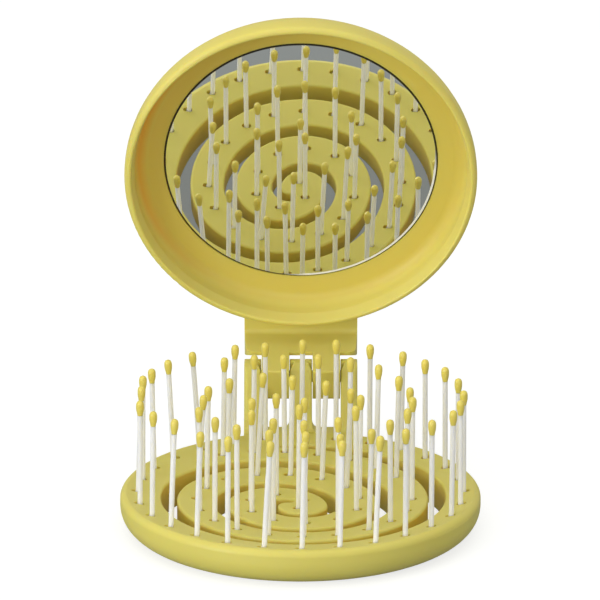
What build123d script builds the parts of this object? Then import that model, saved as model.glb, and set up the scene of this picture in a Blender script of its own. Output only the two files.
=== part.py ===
"""Folding hairbrush with a mirror lid: a round base with bristle pins and a hinged round mirror lid.

Millimetres, +Z up.  The origin is the centre of the base underside and +Y points to the hinge.
The lid stands part way open and leans over the pins.
"""
from build123d import *

from math import acos, atan2, cos, degrees, hypot, pi, radians, sin, sqrt, tan
import os

os.makedirs("parts", exist_ok=True)

# ---- base
base_radius = 43.4
rim_height = 9.1
rim_top_round = 1.6
rim_bottom_round = 6.0
dish_floor_height = 4.95
top_skin = 1.9
slot_wall = 1.5
slot_edge_round = 0.6
rim_solid_width = 7.4
cover_thickness = 1.5
cover_clearance = 0.1

# ---- spiral slot: semicircles on alternating centres, each wider than the last by one step
slot_start_x = -6.7
slot_start_curl = 3.6
slot_curl_angle = 85.0
slot_first_radius = 7.3
slot_half_turns = 5
slot_end_inset = 10.54
slot_start_width = 2.4
slot_end_width = 4.2
slot_tip_inset = 7.7
slot_tip_angle = 98.0
slot_tip_width = 0.9

# ---- bristle pins: an outer ring, and one row along the spiral arm
pin_radius = 0.625
pin_stand = 26.0
pin_root_depth = 2.6
ring_pin_inset = 3.9
ring_pin_count = 28
centre_pin_x = -0.7
centre_pin_y = -1.9
coil_start_x = 1.9
coil_first_pin = 3.7
coil_last_pin_angle = 116.22
coil_pin_count = 34
recess_length = 2.5
recess_width = 1.4
recess_depth = 1.2
boss_radius = 1.7
tip_radius = 0.97
tip_length = 3.7
tip_grip = 2.2
tip_shoulder = 0.06
tip_barrel = 0.8

# ---- hinge
hinge_setback = 9.9
hinge_z = 20.2
hinge_pin_radius = 1.5
hinge_running_clearance = 0.05
hinge_pin_inset = 0.5
barrel_radius = 4.35
side_post_width = 4.2
centre_post_width = 5.6
knuckle_width = 6.9
knuckle_side_gap = 0.15
post_foot_inset = 1.0
post_foot_round = 3.0
post_web_drop = 3.6
post_rear_height = 11.5
window_corner_round = 1.6
post_outer_round = 0.9
post_inner_round = 0.6
post_top_round = 0.8
lead_in_width = 1.2
lead_in_height = 2.0
lead_in_setback = 1.0
neck_length = 3.0
neck_bottom_round = 4.0
hinge_stop_gap = 0.3

# ---- lid
lid_open_angle = 73.44
lid_oversize = 0.1
lid_wall = 2.35
lid_back_round = 10.4
lid_height = 13.0
lid_floor = 1.7
lip_round = 1.2
lip_inner_round = 0.5
crease_drop = 3.2
cove_radius = 3.35
annulus_width = 3.8
annulus_drop = 0.55
mirror_thickness = 1.8
mirror_clearance = 0.1
mirror_stands_proud = 0.15
mirror_bevel = 0.3
adhesive_thickness = 0.4
adhesive_inset = 2.0
lid_neck_width = 28.6
lid_neck_thickness = 6.9
lid_neck_round = 1.2
lid_neck_overlap = 0.3
block_half = 4.4
block_corner_round = 2.0
block_back_round = 7.0
block_draft = 0.6
ledge_front = 4.3
ledge_edge = 1.0
ledge_slope = 33.0
knuckle_top_round = 0.4
knuckle_under_round = 1.2

# ---- how far a cutting sketch runs past the face it cuts
cut_overrun = 1.0

# ---- worked out from the sizes above
slot_end_x = base_radius - slot_end_inset
half_turn_step = (slot_end_x - slot_start_x - 2 * slot_first_radius) / (slot_half_turns - 1)
slot_tip_radius = base_radius - slot_tip_inset
ring_pin_radius = base_radius - ring_pin_inset
hinge_y = base_radius + hinge_setback
post_foot_y = base_radius - post_foot_inset
neck_rear_y = base_radius + neck_length
dish_radius = base_radius - rim_top_round
dish_depth = rim_height - dish_floor_height
dish_sphere = (dish_radius**2 + dish_depth**2) / (2 * dish_depth)
dish_sphere_z = dish_floor_height + dish_sphere
cavity_radius = base_radius - rim_solid_width
window_width = knuckle_width + 2 * knuckle_side_gap
bracket_width = 2 * side_post_width + centre_post_width + 2 * window_width
knuckle_x = (centre_post_width + window_width) / 2
side_post_x = (bracket_width - side_post_width) / 2
post_rear_y = hinge_y - block_half - hinge_stop_gap
hinge_centre = (hinge_y, hinge_z)
lid_back = hinge_z
lip_front = lid_back - lid_height
adhesive_back = lid_back - lid_floor
mirror_back = adhesive_back - adhesive_thickness
mirror_face = mirror_back - mirror_thickness
lid_radius = base_radius + lid_oversize
lid_flat_radius = lid_radius - lid_back_round
crease_radius = lid_radius - lid_wall
annulus_outer = crease_radius - cove_radius
annulus_inner = annulus_outer - annulus_width
mirror_radius = annulus_inner - mirror_clearance
lid_back_direction = (0, sin(radians(lid_open_angle)), cos(radians(lid_open_angle)))
lid_up_direction = (0, -cos(radians(lid_open_angle)), sin(radians(lid_open_angle)))


def surface_height(x, y):
    """Height of the dished top at a point."""
    return dish_sphere_z - sqrt(dish_sphere**2 - x**2 - y**2)


def slot_crossing(index):
    """X where the slot's centre line crosses the X axis, after a number of half turns."""
    x = slot_start_x
    for turn in range(index):
        x += (-1) ** turn * 2 * (slot_first_radius + turn * half_turn_step)
    return x


def slot_edge_crossing(index, side):
    """X where the slot's outer (side 1) or inner (side -1) edge crosses the X axis."""
    width = slot_start_width + (slot_end_width - slot_start_width) * index / slot_half_turns
    x = slot_crossing(index)
    return x + side * (width / 2 if x > 0 else -width / 2)


def coil_point(distance):
    """Point at a distance along the middle of the spiral arm."""
    x, turn = coil_start_x, 0
    radius = slot_first_radius
    while distance > pi * radius:
        distance -= pi * radius
        x += (-1) ** (turn + 1) * 2 * radius
        turn += 1
        radius += half_turn_step
    side = (-1) ** turn
    angle = distance / radius
    return (x - side * radius * (1 - cos(angle)), side * radius * sin(angle))


def tangent_touch(start, centre, radius):
    """Where a line from start touches a circle, on the left of the way to its centre."""
    dx, dy = centre[0] - start[0], centre[1] - start[1]
    distance = hypot(dx, dy)
    angle = atan2(-dy, -dx) - acos(radius / distance)
    return (centre[0] + radius * cos(angle), centre[1] + radius * sin(angle))


def polar_point(radius, angle):
    """Point at a radius and an angle in degrees."""
    return (radius * cos(radians(angle)), radius * sin(radians(angle)))


ring_pins = [
    polar_point(ring_pin_radius, -90 + 360 * index / ring_pin_count) for index in range(ring_pin_count)
]
whole_turns = sum(pi * (slot_first_radius + turn * half_turn_step) for turn in range(slot_half_turns - 1))
last_turn = radians(coil_last_pin_angle) * (slot_first_radius + (slot_half_turns - 1) * half_turn_step)
coil_pin_pitch = (whole_turns + last_turn - coil_first_pin) / (coil_pin_count - 1)
coil_distances = [coil_first_pin + index * coil_pin_pitch for index in range(coil_pin_count)]
first_turn = 2 * pi * (slot_first_radius + half_turn_step / 2)
second_turn = first_turn + 2 * pi * (slot_first_radius + half_turn_step * 5 / 2)
inner_coil_pins_at = [(centre_pin_x, centre_pin_y)]
inner_coil_pins_at += [coil_point(d) for d in coil_distances if d < first_turn]
middle_coil_pins_at = [coil_point(d) for d in coil_distances if first_turn <= d < second_turn]
outer_coil_pins_at = [coil_point(d) for d in coil_distances if d >= second_turn]
coil_pins = inner_coil_pins_at + middle_coil_pins_at + outer_coil_pins_at
all_pins = ring_pins + coil_pins

# ---- spiral slot outline: out along the outer edge, round the tip and back along the inner edge
curl_centre = slot_start_x + slot_start_curl
curl_direction = (cos(radians(slot_curl_angle)), sin(radians(slot_curl_angle)))
curl_middle = polar_point(1, 180 - slot_curl_angle / 2)
with BuildSketch() as slot_outline:
    with BuildLine():
        for side in (1, -1):
            edge_radius = abs(slot_edge_crossing(0, side) - curl_centre)
            ThreePointArc(
                (curl_centre + edge_radius * curl_direction[0], edge_radius * curl_direction[1]),
                (curl_centre + edge_radius * curl_middle[0], edge_radius * curl_middle[1]),
                (slot_edge_crossing(0, side), 0),
            )
            for turn in range(slot_half_turns):
                start_x, end_x = slot_edge_crossing(turn, side), slot_edge_crossing(turn + 1, side)
                middle = ((start_x + end_x) / 2, (-1) ** (turn + 1) * abs(end_x - start_x) / 2)
                ThreePointArc((start_x, 0), middle, (end_x, 0))
            TangentArc(
                (slot_edge_crossing(slot_half_turns, side), 0),
                polar_point(slot_tip_radius + side * slot_tip_width / 2, slot_tip_angle),
                tangent=(0, 1),
            )
        tip_end_angle = slot_tip_angle + degrees(slot_tip_width / 2 / slot_tip_radius)
        ThreePointArc(
            polar_point(slot_tip_radius + slot_tip_width / 2, slot_tip_angle),
            polar_point(slot_tip_radius, tip_end_angle),
            polar_point(slot_tip_radius - slot_tip_width / 2, slot_tip_angle),
        )
        outer_curl = abs(slot_edge_crossing(0, 1) - curl_centre)
        inner_curl = abs(slot_edge_crossing(0, -1) - curl_centre)
        cap_radius = (outer_curl - inner_curl) / 2
        cap_middle = (
            curl_centre + slot_start_curl * curl_direction[0] + cap_radius * curl_direction[1],
            slot_start_curl * curl_direction[1] - cap_radius * curl_direction[0],
        )
        ThreePointArc(
            (curl_centre + inner_curl * curl_direction[0], inner_curl * curl_direction[1]),
            cap_middle,
            (curl_centre + outer_curl * curl_direction[0], outer_curl * curl_direction[1]),
        )
    make_face()

with BuildSketch() as slot_walls:
    add(slot_outline.sketch)
    offset(amount=slot_wall)

with BuildSketch() as cover_gap:
    add(slot_outline.sketch)
    offset(amount=slot_wall + cover_clearance)

# ---- hollow under the top skin, between the slot walls
with BuildPart() as cavity:
    with BuildSketch():
        Circle(cavity_radius)
        add(slot_walls.sketch, mode=Mode.SUBTRACT)
    extrude(amount=rim_height)
    with Locations((0, 0, dish_sphere_z)):
        Sphere(dish_sphere + top_skin, mode=Mode.SUBTRACT)
    with Locations(*[(x, y, cover_thickness) for x, y in coil_pins]):
        Cylinder(
            boss_radius,
            rim_height,
            align=(Align.CENTER, Align.CENTER, Align.MIN),
            mode=Mode.SUBTRACT,
        )

# ---- sockets for the pins: a tight blind hole under an oblong recess
recess_planes = [Plane(origin=(x, y, surface_height(x, y) - recess_depth)) for x, y in all_pins]
socket_floors = [(x, y, surface_height(x, y) - pin_root_depth) for x, y in all_pins]
post_top = hinge_z + barrel_radius
post_inner_faces = []
for side in (-1, 1):
    post_inner_faces.append((side * (bracket_width / 2 - side_post_width), side))
    post_inner_faces.append((side * centre_post_width / 2, -side))
post_corners = [(x, inward, post_inner_round) for x, inward in post_inner_faces]
post_corners += [(side * bracket_width / 2, -side, post_outer_round) for side in (-1, 1)]

# ---- hinge bracket: side profile crossed with a front profile that has two windows
with BuildPart() as bracket:
    post_front_touch = tangent_touch((post_foot_y, rim_height), hinge_centre, barrel_radius)
    with BuildSketch(Plane.YZ) as side_profile:
        with BuildLine():
            Polyline(
                (cavity_radius, 0),
                (neck_rear_y, 0),
                (neck_rear_y, rim_height),
                (post_rear_y, post_rear_height),
                (post_rear_y, hinge_z - post_web_drop),
                (hinge_y, hinge_z - barrel_radius),
                (hinge_y, hinge_z),
                post_front_touch,
                (post_foot_y, rim_height),
                (cavity_radius, rim_height),
                close=True,
            )
        make_face()
        fillet(
            side_profile.vertices().sort_by_distance((post_foot_y, rim_height))[0],
            radius=post_foot_round,
        )
        fillet(
            side_profile.vertices().sort_by_distance((neck_rear_y, 0))[0],
            radius=neck_bottom_round,
        )
        with Locations(hinge_centre):
            Circle(barrel_radius)
    extrude(amount=bracket_width / 2, both=True)
    with BuildSketch(Plane.XZ) as front_profile:
        with Locations((0, post_top)):
            Rectangle(bracket_width, post_top, align=(Align.CENTER, Align.MAX))
        with Locations((-knuckle_x, rim_height), (knuckle_x, rim_height)):
            Rectangle(
                window_width,
                post_top,
                align=(Align.CENTER, Align.MIN),
                mode=Mode.SUBTRACT,
            )
        fillet(front_profile.vertices().group_by(Axis.Y)[1], radius=window_corner_round)
        fillet(front_profile.vertices().group_by(Axis.Y)[0], radius=neck_bottom_round)
        fillet(front_profile.vertices().group_by(Axis.Y)[-1], radius=post_top_round)
    extrude(amount=2 * hinge_y, both=True, mode=Mode.INTERSECT)
    post_slope = Vector(0, post_front_touch[0] - post_foot_y, post_front_touch[1] - rim_height)
    post_front = Plane(origin=(0, post_foot_y, rim_height), x_dir=(1, 0, 0), z_dir=post_slope)
    with BuildSketch(post_front.offset(post_foot_round)):
        for x, inward, radius in post_corners:
            with Locations((x + inward * (radius - cut_overrun) / 2, (radius - cut_overrun) / 2)):
                Rectangle(radius + cut_overrun, radius + cut_overrun)
        for x, inward, radius in post_corners:
            with Locations((x + inward * radius, radius)):
                Circle(radius, mode=Mode.SUBTRACT)
    extrude(amount=post_slope.length, mode=Mode.SUBTRACT)
    with BuildSketch(Plane.XZ.offset(lead_in_setback - hinge_y)):
        for x, inward in post_inner_faces:
            with BuildLine():
                Polyline(
                    (x - inward * cut_overrun, post_top - lead_in_height),
                    (x, post_top - lead_in_height),
                    (x + inward * lead_in_width, post_top),
                    (x + inward * lead_in_width, post_top + cut_overrun),
                    (x - inward * cut_overrun, post_top + cut_overrun),
                    close=True,
                )
            make_face()
    extrude(amount=hinge_y - post_foot_y, mode=Mode.SUBTRACT)
    Cylinder(dish_radius, 2 * hinge_z, mode=Mode.SUBTRACT)

# ---- brush body: the dished base with its slot, and the bracket
with BuildPart() as brush_body:
    with BuildSketch(Plane.XZ):
        with BuildLine():
            Line((0, 0), (base_radius - rim_bottom_round, 0))
            RadiusArc(
                (base_radius - rim_bottom_round, 0),
                (base_radius, rim_bottom_round),
                -rim_bottom_round,
            )
            Line((base_radius, rim_bottom_round), (base_radius, rim_height - rim_top_round))
            RadiusArc(
                (base_radius, rim_height - rim_top_round),
                (base_radius - rim_top_round, rim_height),
                -rim_top_round,
            )
            TangentArc((0, dish_floor_height), (dish_radius, rim_height), tangent=(1, 0))
            Line((0, dish_floor_height), (0, 0))
        make_face()
    revolve(axis=Axis.Z)
    add(bracket.part)
    with BuildSketch():
        add(slot_outline.sketch)
    extrude(amount=rim_height, mode=Mode.SUBTRACT)
    slot_top_edges = brush_body.edges(Select.LAST).filter_by(
        lambda edge: edge.bounding_box().min.Z > dish_floor_height / 2
    )
    fillet(slot_top_edges, radius=slot_edge_round)
    add(cavity.part, mode=Mode.SUBTRACT)
    with BuildSketch(*recess_planes):
        SlotOverall(recess_length, recess_width)
    extrude(amount=recess_depth + cut_overrun, mode=Mode.SUBTRACT)
    with Locations(*socket_floors):
        Cylinder(
            pin_radius,
            pin_root_depth,
            align=(Align.CENTER, Align.CENTER, Align.MIN),
            mode=Mode.SUBTRACT,
        )
    with Locations(Location((0, hinge_y, hinge_z), (0, 90, 0))):
        Cylinder(hinge_pin_radius, bracket_width, mode=Mode.SUBTRACT)
brush_body.part.label = "brush_body"
export_step(brush_body.part, "parts/brush_body.step")

with BuildPart() as back_cover:
    with BuildSketch():
        Circle(cavity_radius - cover_clearance)
        add(cover_gap.sketch, mode=Mode.SUBTRACT)
    extrude(amount=cover_thickness)
back_cover.part.label = "back_cover"
export_step(back_cover.part, "parts/back_cover.step")

# ---- bristle pins and their rounded tips, one node for each row
pin_rows = {
    "outer_ring": ring_pins,
    "outer_coil": outer_coil_pins_at,
    "middle_coil": middle_coil_pins_at,
    "inner_coil": inner_coil_pins_at,
}
pin_length = pin_root_depth + pin_stand - tip_length + tip_grip
with BuildPart() as bristle_tip:
    with BuildSketch(Plane.XZ):
        with BuildLine():
            Line((pin_radius, 0), (pin_radius, tip_grip))
            Line((pin_radius, tip_grip), (0, tip_grip))
            Line((0, tip_grip), (0, tip_length))
            RadiusArc((0, tip_length), (tip_radius, tip_length - tip_radius), tip_radius)
            Polyline(
                (tip_radius, tip_length - tip_radius),
                (tip_radius, tip_length - tip_radius - tip_barrel),
                (pin_radius + tip_shoulder, 0),
                (pin_radius, 0),
            )
        make_face()
    revolve(axis=Axis.Z)

for row_name, row in pin_rows.items():
    with BuildPart() as pins:
        with Locations(*[(x, y, surface_height(x, y) - pin_root_depth) for x, y in row]):
            Cylinder(pin_radius, pin_length, align=(Align.CENTER, Align.CENTER, Align.MIN))
    pins.part.label = row_name + "_pins"
    export_step(pins.part, "parts/" + row_name + "_pins.step")

    with BuildPart() as tips:
        with Locations(*[(x, y, surface_height(x, y) + pin_stand - tip_length) for x, y in row]):
            add(bristle_tip.part)
    tips.part.label = row_name + "_tips"
    export_step(tips.part, "parts/" + row_name + "_tips.step")

# ---- steel hinge pin through the posts and knuckles
with BuildPart() as hinge_pin:
    with Locations(Location((0, hinge_y, hinge_z), (0, 90, 0))):
        Cylinder(hinge_pin_radius, bracket_width - 2 * hinge_pin_inset)
hinge_pin.part.label = "hinge_pin"
export_step(hinge_pin.part, "parts/hinge_pin.step")

# ---- lid: drawn as if closed over the base, on planes that carry the open angle.  Sketch heights
# run from the hinge axis towards the lid's back, so the lip is low and the back plane is high.
hinge_point = (0, hinge_y, hinge_z)
lid_centre = (0, hinge_y + hinge_y * lid_up_direction[1], hinge_z + hinge_y * lid_up_direction[2])
lid_axis = Axis(lid_centre, lid_back_direction)
lid_section = Plane(origin=lid_centre, x_dir=(1, 0, 0), z_dir=lid_up_direction)
bracket_front = Plane(origin=hinge_point, x_dir=(1, 0, 0), z_dir=lid_up_direction)
bracket_side = Plane(origin=hinge_point, x_dir=-Vector(lid_up_direction), z_dir=(1, 0, 0))
neck_reach = hinge_y - sqrt(lid_flat_radius**2 - (lid_neck_width / 2) ** 2) + lid_neck_overlap
neck_face = lid_back - lid_neck_thickness

# ---- hinge block: an L from the lid's back to a ledge over the posts, slotted from below for the
# posts, with a rib and a knuckle between them
with BuildSketch() as block_profile:
    with BuildLine():
        Polyline(
            (-neck_reach, lid_back),
            (-neck_reach, neck_face),
            (-block_half, neck_face),
            (-block_half, ledge_front),
            (block_half, ledge_front),
            (block_half, lid_back),
            close=True,
        )
    make_face()
    fillet(
        block_profile.vertices().sort_by_distance((-block_half, neck_face))[0],
        radius=lid_neck_round,
    )
    fillet(
        block_profile.vertices().sort_by_distance((block_half, lid_back))[0],
        radius=block_back_round,
    )

with BuildSketch() as post_slot_profile:
    slot_depth = 2 * block_half - ledge_edge
    post_slot_top = ledge_front + (slot_depth + cut_overrun) / tan(radians(ledge_slope))
    with BuildLine():
        Polyline(
            (block_half - slot_depth, 0),
            (block_half - slot_depth, ledge_front),
            (block_half + cut_overrun, post_slot_top),
            (block_half + cut_overrun, 0),
            close=True,
        )
    make_face()

with BuildPart() as lid_bracket:
    with BuildSketch(bracket_side):
        add(block_profile.sketch)
        add(post_slot_profile.sketch, mode=Mode.SUBTRACT)
    extrude(amount=lid_neck_width / 2, both=True)
    with BuildSketch(bracket_front) as lid_front_profile:
        with BuildLine():
            Polyline(
                (-lid_neck_width / 2, lid_back),
                (-lid_neck_width / 2, neck_face),
                (-lid_neck_width / 2 + block_draft, ledge_front),
                (lid_neck_width / 2 - block_draft, ledge_front),
                (lid_neck_width / 2, neck_face),
                (lid_neck_width / 2, lid_back),
                close=True,
            )
        make_face()
        fillet(lid_front_profile.vertices().group_by(Axis.Y)[0], radius=block_corner_round)
        fillet(lid_front_profile.vertices().group_by(Axis.Y)[-1], radius=lid_neck_round)
    extrude(amount=2 * neck_reach, both=True, mode=Mode.INTERSECT)
    for x in (-knuckle_x, knuckle_x):
        with BuildSketch(bracket_side.offset(x - knuckle_width / 2)):
            add(block_profile.sketch)
        extrude(amount=knuckle_width)
        with BuildSketch(bracket_side.offset(x - knuckle_width / 2)) as knuckle:
            with Locations((0, -block_half)):
                Rectangle(2 * block_half, block_half + ledge_front, align=(Align.CENTER, Align.MIN))
            lower_left = knuckle.vertices().sort_by_distance((-block_half, -block_half))[0]
            fillet(lower_left, radius=knuckle_top_round)
            lower_right = knuckle.vertices().sort_by_distance((block_half, -block_half))[0]
            fillet(lower_right, radius=knuckle_under_round)
        extrude(amount=knuckle_width)

with BuildPart() as lid_frame:
    with BuildSketch(lid_section):
        with BuildLine():
            Line((0, lip_front), (lid_radius - lip_round, lip_front))
            TangentArc(
                (lid_radius - lip_round, lip_front),
                (lid_radius, lip_front + lip_round),
                tangent=(1, 0),
            )
            Line((lid_radius, lip_front + lip_round), (lid_radius, lid_back - lid_back_round))
            TangentArc(
                (lid_flat_radius, lid_back),
                (lid_radius, lid_back - lid_back_round),
                tangent=(1, 0),
            )
            Polyline((lid_flat_radius, lid_back), (0, lid_back), (0, lip_front))
        make_face()
    revolve(axis=lid_axis)
    add(lid_bracket.part)
    with BuildSketch(lid_section):
        with BuildLine():
            annulus_height = mirror_face + mirror_stands_proud - annulus_drop
            lip_crest = lid_radius - lip_round
            Polyline(
                (0, lip_front - cut_overrun),
                (lip_crest, lip_front - cut_overrun),
                (lip_crest, lip_front),
            )
            TangentArc(
                (lip_crest, lip_front),
                (lip_crest - lip_inner_round, lip_front + lip_inner_round),
                tangent=(-1, 0),
            )
            Polyline(
                (lip_crest - lip_inner_round, lip_front + lip_inner_round),
                (crease_radius, lip_front + crease_drop),
                (crease_radius, annulus_height - cove_radius),
            )
            TangentArc(
                (crease_radius, annulus_height - cove_radius),
                (annulus_outer, annulus_height),
                tangent=(0, 1),
            )
            Polyline(
                (annulus_outer, annulus_height),
                (annulus_inner, mirror_face + mirror_stands_proud),
                (annulus_inner, adhesive_back),
                (0, adhesive_back),
                (0, lip_front - cut_overrun),
            )
        make_face()
    revolve(axis=lid_axis, mode=Mode.SUBTRACT)
    with Locations(Location(hinge_point, (0, 90, 0))):
        Cylinder(
            hinge_pin_radius + hinge_running_clearance,
            bracket_width,
            mode=Mode.SUBTRACT,
        )
lid_frame.part.label = "lid_frame"
export_step(lid_frame.part, "parts/lid_frame.step")

with BuildPart() as mirror_glass:
    with BuildSketch(lid_section):
        with BuildLine():
            Polyline(
                (0, mirror_face),
                (mirror_radius - mirror_bevel, mirror_face),
                (mirror_radius, mirror_face + mirror_bevel),
                (mirror_radius, mirror_back),
                (0, mirror_back),
                close=True,
            )
        make_face()
    revolve(axis=lid_axis)
mirror_glass.part.label = "mirror_glass"
export_step(mirror_glass.part, "parts/mirror_glass.step")

with BuildPart() as mirror_adhesive:
    with BuildSketch(lid_section):
        with Locations((0, mirror_back)):
            Rectangle(
                mirror_radius - adhesive_inset,
                adhesive_thickness,
                align=(Align.MIN, Align.MIN),
            )
    revolve(axis=lid_axis)
mirror_adhesive.part.label = "mirror_adhesive"
export_step(mirror_adhesive.part, "parts/mirror_adhesive.step")
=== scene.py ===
"""Folding hairbrush with a mirror lid: finishes, bristles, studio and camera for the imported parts.

Metres, +Z up, origin at the centre of the base underside, +Y towards the hinge.
"""

from __future__ import annotations

import logging
import math
from dataclasses import dataclass, field
from enum import Enum
from typing import Any

import bpy
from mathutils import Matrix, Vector

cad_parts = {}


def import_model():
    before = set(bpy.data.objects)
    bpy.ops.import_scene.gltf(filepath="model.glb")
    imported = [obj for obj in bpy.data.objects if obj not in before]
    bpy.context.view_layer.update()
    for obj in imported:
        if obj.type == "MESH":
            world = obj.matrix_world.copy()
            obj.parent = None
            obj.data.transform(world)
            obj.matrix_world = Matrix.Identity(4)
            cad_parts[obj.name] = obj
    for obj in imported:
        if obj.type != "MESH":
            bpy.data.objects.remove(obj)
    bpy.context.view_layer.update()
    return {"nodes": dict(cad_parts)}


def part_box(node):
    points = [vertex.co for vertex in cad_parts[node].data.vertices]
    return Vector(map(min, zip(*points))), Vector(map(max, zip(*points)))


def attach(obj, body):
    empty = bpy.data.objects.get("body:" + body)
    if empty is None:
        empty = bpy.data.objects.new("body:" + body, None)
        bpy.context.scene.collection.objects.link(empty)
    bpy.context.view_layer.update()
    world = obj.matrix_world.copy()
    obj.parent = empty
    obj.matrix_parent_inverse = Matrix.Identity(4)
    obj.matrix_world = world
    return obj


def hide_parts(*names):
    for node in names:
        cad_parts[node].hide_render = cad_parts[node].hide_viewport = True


MM = 0.001
# The lid stands this far open from shut, and the mirror faces forwards and down over the bristles.
LID_OPEN = math.radians(73.44)
MIRROR_FACING = (0.0, -math.sin(LID_OPEN), -math.cos(LID_OPEN))
LOG = logging.getLogger("hairbrush")
Tree = bpy.types.NodeTree
Socket = bpy.types.NodeSocket
Sockets = bpy.types.bpy_prop_collection  # a node's outputs, by name


def linear(hex_code: str) -> tuple[float, float, float, float]:
    """Turn an sRGB hex colour to linear RGBA.

    Args:
        hex_code: Six hex digits, with or without a leading hash.

    Returns:
        Linear red, green, blue and an alpha of one.
    """
    text = hex_code.lstrip("#")
    channels = [int(text[i : i + 2], 16) / 255 for i in (0, 2, 4)]
    rgb = [c / 12.92 if c <= 0.04045 else ((c + 0.055) / 1.055) ** 2.4 for c in channels]
    return (rgb[0], rgb[1], rgb[2], 1.0)


def add_node(
    tree: Tree,
    kind: str,
    settings: dict[str, Any] | None = None,
    inputs: dict[str | int, Any] | None = None,
) -> bpy.types.Node:
    """Add a node with its settings, input values and links.

    Args:
        tree: The shader or geometry tree that gets the node.
        kind: The node's type name.
        settings: Node properties to set.
        inputs: Input values or output sockets to link from, by input name or index.

    Returns:
        The new node.
    """
    node = tree.nodes.new(kind)
    for name, value in (settings or {}).items():
        setattr(node, name, value)
    for key, value in (inputs or {}).items():
        socket = node.inputs[key]
        if isinstance(value, Socket):
            tree.links.new(value, socket)
        else:
            socket.default_value = value
    return node


def blank_material(name: str) -> tuple[bpy.types.Material, Tree]:
    """Make a material with an empty shader tree.

    Args:
        name: The material's name.

    Returns:
        The material and its tree.
    """
    mat = bpy.data.materials.new(name)
    mat.use_nodes = True
    mat.node_tree.nodes.clear()
    return mat, mat.node_tree


class Body(Enum):
    """The two bodies of the brush that move against each other."""

    BASE = "base"
    LID = "lid"


class Slot(Enum):
    """The record's material slots."""

    YELLOW = "yellow_plastic"
    NYLON = "white_nylon"
    TIP = "yellow_tip"
    MIRROR = "mirror_glass"
    PAD = "adhesive_pad"
    STEEL = "pin_steel"


class Span(Enum):
    """Which stretch of a bristle a mesh covers."""

    SHAFT = "pins"
    TIP = "tips"


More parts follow.
